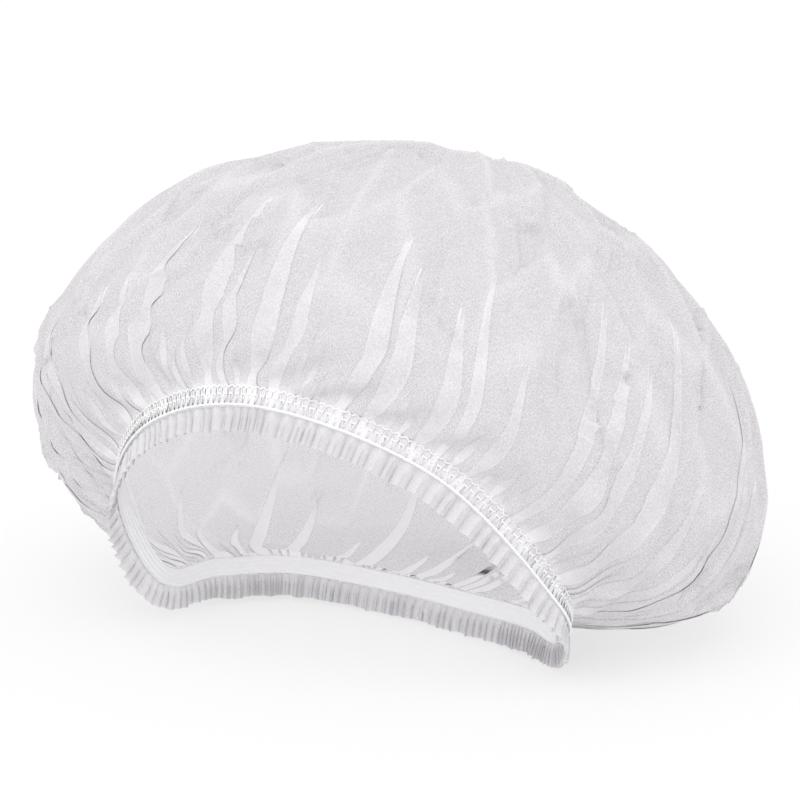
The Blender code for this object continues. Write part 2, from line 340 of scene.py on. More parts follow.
def patchwork(angle, share, across, along, seed):
    """Smooth random values on a grid that closes round the cap."""
    values = np.random.default_rng(seed).normal(size=(along + 2, across))
    place = angle[None] / FULL_TURN * across + 0.0 * share
    column = np.floor(place).astype(int)
    step = place - column
    step = step * step * (3.0 - 2.0 * step)
    height = np.clip(share, 0.0, 1.0) * along + 0.0 * place
    row = np.minimum(np.floor(height).astype(int), along)
    rise = height - row
    rise = rise * rise * (3.0 - 2.0 * rise)
    lower = values[row, column % across] * (1.0 - step) + values[row, (column + 1) % across] * step
    upper = values[row + 1, column % across] * (1.0 - step) + values[row + 1, (column + 1) % across] * step
    return lower * (1.0 - rise) + upper * rise


def excess(from_hem, share):
    """How much longer the cloth is than the ring it lies on."""
    at_hem = HEM_EXCESS * np.exp(-from_hem / HEM_EXCESS_REACH)
    on_crown = CROWN_EXCESS * np.clip(2.0 - 2.0 * share, 0.0, 1.0)
    return 1.0 + at_hem + on_crown


def pull_links(points, ends, lengths, strength, starts):
    """Move both ends of each link towards its own length; ends shifts a column or a row away."""
    shift_row, shift_column = ends
    last = len(points) - shift_row
    lower = points[starts:last:2] if shift_row else points[:, starts::2]
    if shift_row:
        upper = np.roll(points, -shift_column, 1)[starts + 1 :: 2][: len(lower)]
        lower = lower[: len(upper)]
        length = lengths[starts::2][: len(lower)]
    else:
        upper = np.roll(points, -1, 1)[:, starts::2]
        length = lengths[:, starts::2]
    apart = upper - lower
    now = np.linalg.norm(apart, axis=2) + 1e-9
    move = apart * (0.5 * strength * (now - length) / now)[..., None]
    if shift_row:
        points[starts:last:2][: len(move)] += move
        points[starts + 1 :: 2][: len(move)] -= np.roll(move, shift_column, 1)
    elif starts == 0:
        points[:, 0::2] += move
        points[:, 1::2] -= move
    else:
        points[:, 1::2] += move
        points[:, 0::2] -= np.roll(move, 1, 1)


def buckle(points, form, reach, rounds, bending, pull):
    """Let the cloth find its folds; the hem and the peak stay where they are."""
    share = np.linspace(0.0, 1.0, len(form))[:, None]
    across = ring_steps(form) * excess(share * reach, share)
    along = np.linalg.norm(np.diff(form, axis=0), axis=2)
    slanted = np.sqrt((0.5 * (across[:-1] + across[1:])) ** 2 + along**2)
    pull = pull * (1.0 + CROWN_PULL * smooth_step(0.012, 0.05, share * reach))[..., None]
    speed = np.zeros_like(points)
    for _ in range(rounds):
        before = points.copy()
        points += 0.9 * speed + pull * (form - points)
        curl = np.roll(points, 1, 1) + np.roll(points, -1, 1) - 2.0 * points
        stiff = np.roll(curl, 1, 1) + np.roll(curl, -1, 1) - 2.0 * curl
        curl = points[2:] + points[:-2] - 2.0 * points[1:-1]
        stiff[2:-2] += curl[2:] + curl[:-2] - 2.0 * curl[1:-1]
        points[1:-2] -= bending / 16.0 * stiff[1:-2]
        for starts in (0, 1):
            pull_links(points, (0, 1), across, 0.9, starts)
        for starts in (0, 1):
            pull_links(points, (1, 0), along, 0.9, starts)
        for lean in (1, -1):
            for starts in (0, 1):
                pull_links(points, (1, lean), slanted, 0.35, starts)
        points[-1] = points[-1].mean(0)
        points[0] = form[0]
        points[..., 2] = np.maximum(points[..., 2], 0.0)
        speed = points - before
    return points


def twice_as_fine(moves):
    """Carry moves from a grid to one with twice the columns and rows."""
    wide = np.stack([moves, 0.5 * (moves + np.roll(moves, -1, 1))], 2).reshape(len(moves), -1, 3)
    tall = np.empty((2 * len(wide) - 1, wide.shape[1], 3))
    tall[0::2] = wide
    tall[1::2] = 0.5 * (wide[1:] + wide[:-1])
    return tall


coarse_angle, coarse_form, coarse_reach, _ = faceted_form(COARSE_COLUMNS, COARSE_ROWS)
coarse_share = np.linspace(0.0, 1.0, COARSE_ROWS + 1)[:, None]
from_hem = coarse_share * coarse_reach
seeds = np.zeros(coarse_form.shape[:2])
for number, (across, along, height, fade) in enumerate(SEED_WAVES):
    seeds += height * patchwork(coarse_angle, coarse_share, across, along, number) * np.exp(-from_hem / fade)
seeds *= smooth_step(0.0, 0.008, from_hem) * smooth_step(0.0, 0.008, coarse_form[..., 2])
cloth = coarse_form + grid_normals(coarse_form) * seeds[..., None]
cloth = buckle(cloth, coarse_form, coarse_reach, rounds=260, bending=0.12, pull=0.008)
middle_form, middle_reach = faceted_form(2 * COARSE_COLUMNS, 2 * COARSE_ROWS)[1:3]
cloth = middle_form + twice_as_fine(cloth - coarse_form)
cloth = buckle(cloth, middle_form, middle_reach, rounds=160, bending=0.25, pull=0.006)
middle_moves = cloth - middle_form
print("buckled cloth area", round(cloth_area(cloth), 4))
print("form's own area", round(cloth_area(middle_form), 4))

# %% [markdown]
# The longest gathers don't stand up: they lie flat against the crown as pleats, three layers thick, and
# show as paler bands because the cloth is thin. A flat pleat is a Z in the cloth: it runs forward, turns
# back on itself, and runs forward again on top. Here each row of the grid is a little longer than the ring
# it lies on, and the extra length goes into such turns, whose width grows from the hem and dies away.

# %% Choose the pleats
PLEATS = 130
COLUMNS_PER_PLEAT = 6
CLOTH_COLUMNS = PLEATS * COLUMNS_PER_PLEAT
CLOTH_ROWS = 114
HEM_ROWS = 5
LONG_PLEATS = 54
PLEAT_LIFT = 0.035
LAYER_GAP = 0.00028
pleat_picker = np.random.default_rng(5)
pleat_length = pleat_picker.uniform(0.012, 0.038, PLEATS)
pleat_width = pleat_picker.uniform(0.0012, 0.0028, PLEATS)
long_ones = pleat_picker.choice(PLEATS, LONG_PLEATS, replace=False)
pleat_length[long_ones] = pleat_picker.uniform(0.050, 0.125, LONG_PLEATS)
pleat_width[long_ones] = pleat_picker.uniform(0.0034, 0.0084, LONG_PLEATS)
pleat_side = pleat_picker.choice((-1.0, 1.0), PLEATS)
pleat_lean = pleat_picker.uniform(-0.10, 0.10, PLEATS)
pleat_room = 0.40 + 0.60 * pleat_width / pleat_width.mean()
pleat_room *= FULL_TURN / pleat_room.sum()
pleat_centre = np.cumsum(pleat_room) - 0.5 * pleat_room
lean_waves = pleat_picker.uniform(-1.0, 1.0, (4, 2)) * np.array([1.2, 0.6, 0.3, 0.15])[:, None]
for turns, (sine, cosine) in zip((3, 7, 12, 19), lean_waves):
    pleat_lean += sine * np.sin(turns * pleat_centre) + cosine * np.cos(turns * pleat_centre)
print("pleats", PLEATS, "widest", round(pleat_width.max() * 1000, 1), "mm")

# %% Lay the pleats over the buckled cloth
FOLDED = np.array([-1.0, 1.0, -1.0, 1.0])
UNFOLDED = np.array([-1.5, -0.5, 0.5, 1.5]) / COLUMNS_PER_PLEAT
LAYER_RISE = {1.0: np.array([0.0, 0.0, 1.0, 0.9]), -1.0: np.array([0.9, 1.0, 0.0, 0.0])}
PASSING_RISE = 0.4
LEAN_REACH = 0.080
BUCKLE_ENDS = (0.035, 0.085)
LEAST_ROOM = 0.88


def lay_row(from_hem, metres_per_radian):
    """Angle and lift of each column in one row of the cloth, and how far each pleat is folded."""
    travel = from_hem / pleat_length
    lean = pleat_lean * (FULL_TURN / PLEATS) * smooth_step(0.0, LEAN_REACH, from_hem)
    between = 0.5 * (pleat_room + np.roll(pleat_room, -1))
    between = np.maximum(between + np.roll(lean, -1) - lean, LEAST_ROOM * between)
    between *= FULL_TURN / between.sum()
    centre = pleat_centre[0] + lean[0] + np.concatenate([[0.0], np.cumsum(between[:-1])])
    scale = np.interp(centre % FULL_TURN, fine_angle, metres_per_radian)
    swell = 0.55 + 0.65 * smooth_step(0.0, 0.4, travel)
    room = 0.40 * pleat_room
    half = np.minimum(0.5 * pleat_width / scale * swell, room) * np.clip(1.0 - travel**2.2, 0.0, 1.0)
    opened = smooth_step(0.75, 1.5, travel)
    steps = centre[:, None] + half[:, None] * FOLDED + (opened * pleat_room)[:, None] * UNFOLDED
    after = np.roll(steps[:, 0], -1)
    after[-1] += FULL_TURN
    last = steps[:, -1]
    steps = np.column_stack([steps, last + (after - last) / 3.0, last + (after - last) / 1.5])
    width = 2.0 * half * scale
    height = PLEAT_LIFT * width + LAYER_GAP * smooth_step(0.0, 0.0006, width)
    rise = np.stack([LAYER_RISE[side] for side in pleat_side]) * height[:, None]
    behind = PASSING_RISE * np.where(pleat_side > 0.0, height, 0.0)
    ahead = PASSING_RISE * np.roll(np.where(pleat_side < 0.0, height, 0.0), -1)
    rise = np.column_stack([rise, behind, ahead])
    return steps.ravel(), rise.ravel(), smooth_step(0.0003, 0.0020, width)


def sample_grid(grid, angle, row_place):
    """Smoothly read a grid that closes round the cap, at any angle and any row."""
    rows, columns = grid.shape[:2]
    place = angle / FULL_TURN * columns
    column = np.floor(place).astype(int)
    step = (place - column)[:, None]
    row = min(int(math.floor(row_place)), rows - 2)
    rise = row_place - row

    def along_row(index):
        near = [grid[index, (column + k) % columns] for k in (-1, 0, 1, 2)]
        slope_in = 0.5 * (near[2] - near[0])
        slope_out = 0.5 * (near[3] - near[1])
        bend = 3.0 * (near[2] - near[1]) - 2.0 * slope_in - slope_out
        twist = 2.0 * (near[1] - near[2]) + slope_in + slope_out
        return near[1] + slope_in * step + bend * step**2 + twist * step**3

    return along_row(row) * (1.0 - rise) + along_row(row + 1) * rise


fine_angle, fine_form, fine_reach, fine_crease = faceted_form(CLOTH_COLUMNS, CLOTH_ROWS)
middle_scale = (len(middle_moves) - 1) / CLOTH_ROWS
moves_fine = np.stack([
    sample_grid(middle_moves, fine_angle, row * middle_scale) for row in range(CLOTH_ROWS + 1)
])
fine_from_hem = np.linspace(0.0, 1.0, CLOTH_ROWS + 1)[:, None] * fine_reach
draped = fine_form + moves_fine * (1.0 - smooth_step(*BUCKLE_ENDS, fine_from_hem))[..., None]
plain_form = even_grid(CLOTH_COLUMNS, CLOTH_ROWS)[1]
plain_normals = grid_normals(plain_form)
metres_per_radian = ring_steps(plain_form) * CLOTH_COLUMNS / FULL_TURN
crown_rows = np.empty_like(draped)
crease_rows = np.empty(draped.shape[:2])
pleats_folded = np.zeros((CLOTH_ROWS + 1, PLEATS))
for row in range(CLOTH_ROWS):
    angle, lift, pleats_folded[row] = lay_row(row / CLOTH_ROWS * fine_reach.mean(), metres_per_radian[row])
    place = sample_grid(draped, angle, row)
    normal = unit(sample_grid(plain_normals, angle, row))
    lift = lift * smooth_step(0.0, 0.010, place[:, 2])
    crown_rows[row] = place + normal * lift[:, None]
    crease_rows[row] = sample_grid(fine_crease[..., None], angle, row)[:, 0]
crown_rows[-1] = draped[-1]
crease_rows[-1] = 0.0
print("pleated cloth area", round(cloth_area(crown_rows), 4))

# %% [markdown]
# The hem is the same cloth, held flat over the elastic, and the pleats run down through it to the
# ruffle. Its rows follow the mouth's own frame, which knows the way down and the way out.

# %% Add the hem
hem_angle, hem_lift, hem_folded = lay_row(0.0, metres_per_radian[0])
hem_middle, hem_down, hem_out, hem_along = mouth_frame(hem_angle)
hem_share = (0.5 - np.arange(HEM_ROWS) / HEM_ROWS)[:, None, None]
hem_rows = hem_middle + hem_down * HEM_WIDTH * hem_share + hem_out * hem_lift[:, None]
print("hem length", round(float(ring_steps(hem_middle[None]).sum()) * 1000), "mm")

# %% [markdown]
# The finished grid becomes a mesh. All the columns meet at the peak in one vertex, so no thin faces are
# left there. Two marks are kept on the vertices for the finish: how near a ridge runs, which gets a
# painted highlight, and how near the hem is, where the cloth is painted paler. A third, on the faces,
# says where the cloth is folded; the pleats are painted paler there. The folds' edges are marked sharp.

# %% Make a mesh from a grid
def grid_mesh(name, rows, marks=(), face_marks=(), turned=()):
    """A sheet closed round the cap. The last row becomes one vertex where all its points meet.
    Columns in turned are split into triangles along the other diagonal."""
    count, columns = rows.shape[:2]
    peaked = float(np.ptp(rows[-1], axis=0).max()) < 1e-6
    rings = count - 1 if peaked else count
    points = rows[:rings].reshape(-1, 3)
    here = np.arange((rings - 1) * columns).reshape(rings - 1, columns)
    beside = np.roll(here, -1, 1)
    quads = np.stack([here, beside, beside + columns, here + columns], -1)
    quads[:, list(turned)] = np.roll(quads[:, list(turned)], -1, -1)
    quads = quads.reshape(-1, 4)
    faces = quads.tolist()
    if peaked:
        last = (rings - 1) * columns
        points = np.vstack([points, rows[-1, :1]])
        faces += [(last + c, last + (c + 1) % columns, len(points) - 1) for c in range(columns)]
    mesh = bpy.data.meshes.new(name)
    mesh.from_pydata(points.tolist(), [], faces)
    for mark, values in dict(marks).items():
        layer = mesh.attributes.new(mark, "FLOAT", "POINT")
        flat = values[:rings].ravel()
        flat = np.append(flat, values[-1, :1]) if peaked else flat
        layer.data.foreach_set("value", flat.astype(np.float32))
    for mark, values in dict(face_marks).items():
        layer = mesh.attributes.new(mark, "FLOAT", "FACE")
        layer.data.foreach_set("value", values.ravel().astype(np.float32))
    mesh.shade_smooth()
    return mesh


def add_piece(name, mesh, body="root"):
    piece = bpy.data.objects.new(name, mesh)
    bpy.context.scene.collection.objects.link(piece)
    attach(piece, body)
    return piece


# %% Make the crown's sheet
all_rows = np.concatenate([hem_rows, crown_rows])
row_from_hem = np.linspace(0.0, 1.0, CLOTH_ROWS + 1)[:, None] * np.full(CLOTH_COLUMNS, fine_reach.mean())
all_from_hem = np.concatenate([np.zeros((HEM_ROWS, CLOTH_COLUMNS)), row_from_hem])
all_folded = np.concatenate([np.repeat(hem_folded[None], HEM_ROWS, 0), pleats_folded])[:-1]
OUTER_LAYER = 0.175
# How far from the hem the cloth is painted paler, as painted light, and made firm.
HEM_PAINTED_LIGHT_REACH = 0.004
# The mark on the folded faces, one full layer and two weak ones to a pleat: it paints the pleats paler, as
# painted light, and makes them firm.
outer_first = np.array([OUTER_LAYER, OUTER_LAYER, 1.0, 0.0, 0.0, 0.0])
outer_last = np.array([1.0, OUTER_LAYER, OUTER_LAYER, 0.0, 0.0, 0.0])
in_pleat = np.where(pleat_side[:, None] > 0.0, outer_last, outer_first)
folded_painted_light = (all_folded[:, :, None] * in_pleat).reshape(len(all_folded), -1)
# The ridge mark gets a painted highlight in the finish, and the hem mark paints the cloth by the hem paler.
all_crease = np.concatenate([np.zeros((HEM_ROWS, CLOTH_COLUMNS)), crease_rows])
crown_marks = {"ridge_painted_light": all_crease, "near_hem_painted_light": np.exp(-all_from_hem / HEM_PAINTED_LIGHT_REACH)}
crown = add_piece("crown_sheet", grid_mesh(
    "crown_sheet", all_rows, crown_marks, {"folded_painted_light": folded_painted_light}, range(1, CLOTH_COLUMNS, COLUMNS_PER_PLEAT),
))
crown_edges = np.empty(2 * len(crown.data.edges), dtype=np.int32)
crown.data.edges.foreach_get("vertices", crown_edges)
edge_column = crown_edges.reshape(-1, 2) % CLOTH_COLUMNS
on_fold = (edge_column[:, 0] == edge_column[:, 1]) & np.isin(edge_column[:, 0] % COLUMNS_PER_PLEAT, (1, 2))
sharp = crown.data.attributes.new("sharp_edge", "BOOLEAN", "EDGE")
sharp.data.foreach_set("value", on_fold)
print("crown triangles", sum(len(face.vertices) - 2 for face in crown.data.polygons))

# %% [markdown]
# Past the elastic the cloth runs free for eight millimetres as a ruffle. It is gathered as tightly as
# the hem, so it stands in small round pleats that open towards the edge. Its grid has eight columns to
# a pleat, and each pleat gets its own width, height and length. A mark on the tops paints them paler as
# painted light, and the valleys keep the ruffle's low base shades as painted shade.

# %% Make the ruffle
FRILL_PLEATS = 140
FRILL_COLUMNS = FRILL_PLEATS * 8
FRILL_ROWS = 7
FRILL_HEIGHT = 0.0013
FRILL_CURL = 0.0006
FRILL_EDGE_WAVE = 0.0006

frill_picker = np.random.default_rng(31)
frill_step = np.cumsum(frill_picker.uniform(0.65, 1.35, FRILL_PLEATS))
frill_start = np.concatenate([[0.0], frill_step]) / frill_step[-1]
frill_place = np.arange(FRILL_COLUMNS) / FRILL_COLUMNS
frill_phase = np.interp(frill_place, np.linspace(0.0, 1.0, FRILL_PLEATS + 1), frill_start)
frill_angle = frill_phase * FULL_TURN
pleat_number = np.arange(FRILL_COLUMNS) // 8
pleat_height = frill_picker.uniform(0.55, 1.25, FRILL_PLEATS)[pleat_number]
pleat_reach = frill_picker.uniform(-1.0, 1.0, FRILL_PLEATS)
turn = FULL_TURN * np.arange(FRILL_COLUMNS) / 8.0
frill_middle, frill_down, frill_out, frill_along = mouth_frame(frill_angle)
frill_rows = np.empty((FRILL_ROWS + 1, FRILL_COLUMNS, 3))
pleat_place = np.arange(FRILL_PLEATS) / FRILL_PLEATS
edge_wave = FRILL_EDGE_WAVE * np.interp(frill_place, pleat_place, pleat_reach, period=1.0)
for row in range(FRILL_ROWS + 1):
    share = row / FRILL_ROWS
    spread = 0.30 + 0.70 * smooth_step(0.0, 0.6, share)
    outward = FRILL_HEIGHT * spread * pleat_height * -np.cos(turn)
    outward += FRILL_CURL * share**2 - 0.0004
    sideways = -0.5 * FRILL_HEIGHT * spread * np.sin(2.0 * turn)
    downward = 0.5 * HEM_WIDTH + 0.0001 + (FRILL_WIDTH + edge_wave) * share
    place = frill_middle + frill_down * downward[:, None] + frill_out * outward[:, None]
    frill_rows[row] = place + frill_along * sideways[:, None]
frill_rows[..., 2] = np.maximum(frill_rows[..., 2], PIECE_CLEARANCE)
# Painted light: the mark is full on the ruffle's pleat tops and nothing in its valleys, so the tops are
# painted paler.
frill_painted_light = np.repeat((0.5 - 0.5 * np.cos(turn))[None], FRILL_ROWS + 1, 0)
frill = add_piece("frill_sheet", grid_mesh("frill_sheet", frill_rows[::-1], {"ridge_painted_light": frill_painted_light}))
print("ruffle area", round(cloth_area(frill_rows), 4), "square metres")

# %% [markdown]
# The elastic is a flat knitted tape, about six millimetres wide, sewn inside the hem. Its inner face
# has a few ribs that run lengthwise. It is a closed tube, carried round the mouth.

# %% Make the elastic
TAPE_WIDTH = 0.0064
TAPE_THICKNESS = 0.0010
TAPE_INSIDE = 0.0005
TAPE_RIBS = 4
TAPE_RIB_HEIGHT = 0.00022
TAPE_COLUMNS = 480

tape_across = np.concatenate([np.linspace(-0.5, 0.5, 17), np.linspace(0.5, -0.5, 4)])
tape_depth = np.concatenate([
    TAPE_THICKNESS + TAPE_RIB_HEIGHT * np.cos(FULL_TURN * TAPE_RIBS * np.linspace(-0.5, 0.5, 17)),
    np.zeros(4),
])
tape_middle, tape_down, tape_out, _ = mouth_frame(np.arange(TAPE_COLUMNS) / TAPE_COLUMNS * FULL_TURN)
tape_rows = np.array([
    tape_middle + tape_down * TAPE_WIDTH * across - tape_out * (TAPE_INSIDE + depth)
    for across, depth in zip(tape_across, tape_depth)
])
tape_rows = np.concatenate([tape_rows, tape_rows[:1]])
tape_mesh = grid_mesh("elastic_tape", tape_rows)
joined = bmesh.new()
joined.from_mesh(tape_mesh)
bmesh.ops.remove_doubles(joined, verts=joined.verts, dist=1e-6)
bmesh.ops.recalc_face_normals(joined, faces=joined.faces)
joined.to_mesh(tape_mesh)
joined.free()
tape = add_piece("elastic_tape", tape_mesh)
print("elastic", len(tape.data.polygons), "faces")

# %% [markdown]
# White overlock thread holds the hem: a scalloped row along its top, a zigzag across it, a row of short
# stitches along its middle and a bright twisted cord along its foot. Each is a thin tube that follows a
# path on the hem. All the tubes are joined into one mesh.

# %% Sew the hem
STITCHES = 270
THREAD_SIDES = 5
SCALLOP_THREAD = 0.00030
ZIGZAG_THREAD = 0.00022
CORD_THREAD = 0.00030
DASH_THREAD = 0.00030
hem_threads = []


def on_hem(share, from_middle, height):
    """Points on the outer face of the hem: share of the way round, down from its middle and out."""
    middle, down, out, _ = mouth_frame(share * FULL_TURN)
    return middle + down * from_middle[:, None] + out * height[:, None]


def add_thread(points, radius, closed):
    """A tube along a path, kept for the joined mesh."""
    ahead = np.roll(points, -1, 0) - np.roll(points, 1, 0)
    if not closed:
        ahead = np.gradient(points, axis=0)
    ahead = unit(ahead)
    side = unit(np.cross(ahead, np.array([0.3, 0.2, 0.93])))
    over = np.cross(ahead, side)
    turns = np.arange(THREAD_SIDES) / THREAD_SIDES * FULL_TURN
    ring = side[:, None] * np.cos(turns)[None, :, None] + over[:, None] * np.sin(turns)[None, :, None]
    hem_threads.append((points[:, None] + ring * radius, closed))


path = np.arange(STITCHES * 8) / (STITCHES * 8)
swing = FULL_TURN * path * STITCHES
scallops = on_hem(path, -0.0031 + 0.00035 * np.cos(swing), 0.0004 + 0.0002 * np.sin(swing))
add_thread(scallops, SCALLOP_THREAD, True)
zigzag = np.arange(STITCHES * 4) / (STITCHES * 4)
zig = np.array([-1.0, 0.0, 1.0, 0.0])[np.arange(STITCHES * 4) % 4]
add_thread(on_hem(zigzag, 0.0026 * zig - 0.0002, 0.00045 + 0.0002 * np.abs(zig)), ZIGZAG_THREAD, True)
for ply in (0.0, math.pi):
    twist = 1.4 * swing + ply
    cord = on_hem(path, 0.0029 + 0.00026 * np.cos(twist), 0.00055 + 0.00026 * np.sin(twist))
    add_thread(cord, CORD_THREAD, True)
for stitch in range(STITCHES):
    dash = (stitch + np.linspace(0.12, 0.82, 5)) / STITCHES
    arch = np.array([0.0, 0.00028, 0.00034, 0.00028, 0.0]) + 0.0004
    add_thread(on_hem(dash, np.full(5, -0.0006), arch), DASH_THREAD, False)


def threads_mesh(name, threads):
    """One mesh of all the tubes; the open ones get caps."""
    points, faces = [], []
    start = 0
    for rings, closed in threads:
        count = len(rings)
        here = np.arange(count * THREAD_SIDES).reshape(count, THREAD_SIDES) + start
        after = np.roll(here, -1, 0)
        quads = np.stack([here, after, np.roll(after, -1, 1), np.roll(here, -1, 1)], -1)
        faces += (quads if closed else quads[:-1]).reshape(-1, 4).tolist()
        if not closed:
            faces += [here[0].tolist(), here[-1][::-1].tolist()]
        points.append(rings.reshape(-1, 3))
        start += count * THREAD_SIDES
    mesh = bpy.data.meshes.new(name)
    mesh.from_pydata(np.vstack(points).tolist(), [], faces)
    mesh.shade_smooth()
    return mesh


stitches = add_piece("hem_stitches", threads_mesh("hem_stitches", hem_threads))
print("stitches", len(stitches.data.polygons), "faces")

# %% [markdown]
# Nonwoven cloth is a web of fine fibres, pressed together without a weave. Held to the light it shows
# a fine speckle of thicker and thinner places. One node group makes that web from stretched noise in
# three directions. The cloth, ruffle, elastic and thread all use it, each with its own values.

# %% Build the fibre web group
def new_group(name, numbers, outputs):
    group = bpy.data.node_groups.new(name, "ShaderNodeTree")
    for label, value in numbers:
        socket = group.interface.new_socket(label, in_out="INPUT", socket_type="NodeSocketFloat")
        socket.default_value = value
    for label in outputs:
        group.interface.new_socket(label, in_out="OUTPUT", socket_type="NodeSocketFloat")
    return group


def add_node(tree, kind, **values):
    """A node with its named inputs set; a value that is an output socket is linked."""
    node = tree.nodes.new(kind)
    for label, value in values.items():
        if hasattr(node, label):
            setattr(node, label, value)
            continue
        numbered = label[0] == "i" and label[1:].isdigit()
        socket = node.inputs[int(label[1:])] if numbered else node.inputs[label]
        if isinstance(value, bpy.types.NodeSocket):
            tree.links.new(value, socket)
        else:
            socket.default_value = value
    return node


def maths(tree, operation, first, second=0.0, clamp=False):
    node = add_node(tree, "ShaderNodeMath", operation=operation, i0=first, i1=second)
    node.use_clamp = clamp
    return node.outputs[0]


def build_fibre_web():
    """Web: fine fibres, 0 to 1. Clumps: larger, thicker patches."""
    group = new_group(
        "Fibre web",
        (("Fibre Scale", 900.0), ("Clump Scale", 160.0), ("Clump Share", 0.15)),
        ("Web", "Clumps"),
    )
    tree = group
    start = tree.nodes.new("NodeGroupInput")
    end = tree.nodes.new("NodeGroupOutput")
    place = tree.nodes.new("ShaderNodeTexCoord").outputs["Object"]
    layers = []
    for turn_x, turn_z in ((0.5, 0.4), (-0.6, 1.9), (1.2, -0.7)):
        turned = add_node(tree, "ShaderNodeMapping", i0=place)
        turned.inputs["Rotation"].default_value = (turn_x, 0.3, turn_z)
        turned.inputs["Scale"].default_value = (1.0, 0.35, 0.7)
        noise = add_node(tree, "ShaderNodeTexNoise", Vector=turned.outputs[0])
        tree.links.new(start.outputs["Fibre Scale"], noise.inputs["Scale"])
        noise.inputs["Detail"].default_value = 2.0
        noise.inputs["Roughness"].default_value = 0.6
        layers.append(noise.outputs["Fac"])
    web = maths(tree, "MAXIMUM", maths(tree, "MAXIMUM", layers[0], layers[1]), layers[2])
    web = maths(tree, "MULTIPLY", maths(tree, "SUBTRACT", web, 0.45), 4.0, clamp=True)
    clump = add_node(tree, "ShaderNodeTexNoise", Vector=place, Scale=start.outputs["Clump Scale"])
    clump.inputs["Detail"].default_value = 4.0
    clump = maths(tree, "MULTIPLY", maths(tree, "SUBTRACT", clump.outputs["Fac"], 0.3), 2.5, clamp=True)
    mixed = add_node(tree, "ShaderNodeMix", Factor=start.outputs["Clump Share"], A=web, B=clump)
    tree.links.new(mixed.outputs["Result"], end.inputs["Web"])
    tree.links.new(clump, end.inputs["Clumps"])
    return group


fibre_web = build_fibre_web()
print("group", fibre_web.name, "with", len(fibre_web.nodes), "nodes")

# %% [markdown]
# The cloth lets light through: part of it passes straight between the fibres, and part glows through
# them. A mix of three shaders does this. Where it lies threefold in a pleat, a mark makes it firm and
# paints it paler, as painted light: a render follows only so many bounces, and without the mark three
# thin layers come out darker than one, where real ones look paler. The ridges get a painted highlight,
# a little white mixed in, and the cloth by the hem is painted paler as well and made firm.

# %% Mix the cloth's finish
def start_material(name):
    """An empty material, and its node tree."""
    material = bpy.data.materials.new(name)
    material.use_nodes = True
    tree = material.node_tree
    tree.nodes.clear()
    return material, tree


def web_material(name, dark, light, gaps, glow, grain, fibre_scale, painted_light_shares=None):
    """Thin fibrous cloth: two shades, how much shows through, how much light glows through, bump, and the
    shares of painted light.
    """
    material, tree = start_material(name)
    web = tree.nodes.new("ShaderNodeGroup")
    web.node_tree = fibre_web
    web.inputs["Fibre Scale"].default_value = fibre_scale
    shade = add_node(tree, "ShaderNodeMix", data_type="RGBA")
    tree.links.new(web.outputs["Web"], shade.inputs["Factor"])
    colour_a, colour_b = shade.inputs[6], shade.inputs[7]
    colour_a.default_value = dark
    colour_b.default_value = light
    colour = shade.outputs[2]
    cover = maths(tree, "MULTIPLY_ADD", web.outputs["Web"], -gaps)
    cover.node.inputs[2].default_value = gaps
    # Painted light: the ridge mark, the folded pleats and the cloth by the hem mix the colour towards white.
    # The pleats and the hem are also made firm, with less light passing and glowing through.
    if painted_light_shares:
        ridge_highlight = add_node(tree, "ShaderNodeAttribute", attribute_name="ridge_painted_light").outputs["Fac"]
        pleats = add_node(tree, "ShaderNodeAttribute", attribute_name="folded_painted_light").outputs["Fac"]
        hem = add_node(tree, "ShaderNodeAttribute", attribute_name="near_hem_painted_light").outputs["Fac"]
        painted_light_mix = add_node(tree, "ShaderNodeMix", data_type="RGBA")
        mark = maths(tree, "MULTIPLY_ADD", pleats, painted_light_shares[1])
        tree.links.new(maths(tree, "MULTIPLY", ridge_highlight, painted_light_shares[0]), mark.node.inputs[2])
        both = maths(tree, "MULTIPLY_ADD", hem, painted_light_shares[2], clamp=True)
        tree.links.new(mark, both.node.inputs[2])
        tree.links.new(both, painted_light_mix.inputs["Factor"])
        tree.links.new(colour, painted_light_mix.inputs[6])
        painted_light_mix.inputs[7].default_value = (0.975, 0.965, 0.975, 1.0)
        colour = painted_light_mix.outputs[2]
        layers = maths(tree, "MULTIPLY", pleats, 4.0)
        thin = maths(tree, "SUBTRACT", 1.0, maths(tree, "ADD", layers, hem, clamp=True), clamp=True)
        cover = maths(tree, "MULTIPLY", cover, thin)
    bump = add_node(tree, "ShaderNodeBump", Height=web.outputs["Web"], Strength=grain, Distance=0.0002)
    shader = add_node(tree, "ShaderNodeBsdfPrincipled", Normal=bump.outputs["Normal"])
    tree.links.new(colour, shader.inputs["Base Color"])
    shader.inputs["Roughness"].default_value = 0.85
    shader.inputs["Specular IOR Level"].default_value = 0.25
    shader.inputs["Sheen Weight"].default_value = 0.08
    through = add_node(tree, "ShaderNodeBsdfTranslucent", Color=colour)
    body = add_node(tree, "ShaderNodeMixShader", i1=shader.outputs[0], i2=through.outputs[0])
    body.inputs[0].default_value = glow
    if painted_light_shares:
        tree.links.new(maths(tree, "MULTIPLY", thin, glow), body.inputs[0])
    clear = add_node(tree, "ShaderNodeBsdfTransparent")
    whole = add_node(tree, "ShaderNodeMixShader", i0=cover, i1=body.outputs[0], i2=clear.outputs[0])
    end = tree.nodes.new("ShaderNodeOutputMaterial")
    tree.links.new(whole.outputs[0], end.inputs["Surface"])
    return material


# Painted light shares: 0.45 for the painted highlight on ridges, 1.0 on folded pleats and 0.22 by the hem.
crown.data.materials.append(web_material(
    "nonwoven_cloth", dark=(0.64, 0.62, 0.645, 1.0), light=(0.87, 0.85, 0.875, 1.0),
    gaps=0.45, glow=0.45, grain=0.2, fibre_scale=2400.0, painted_light_shares=(0.45, 1.0, 0.22),
))
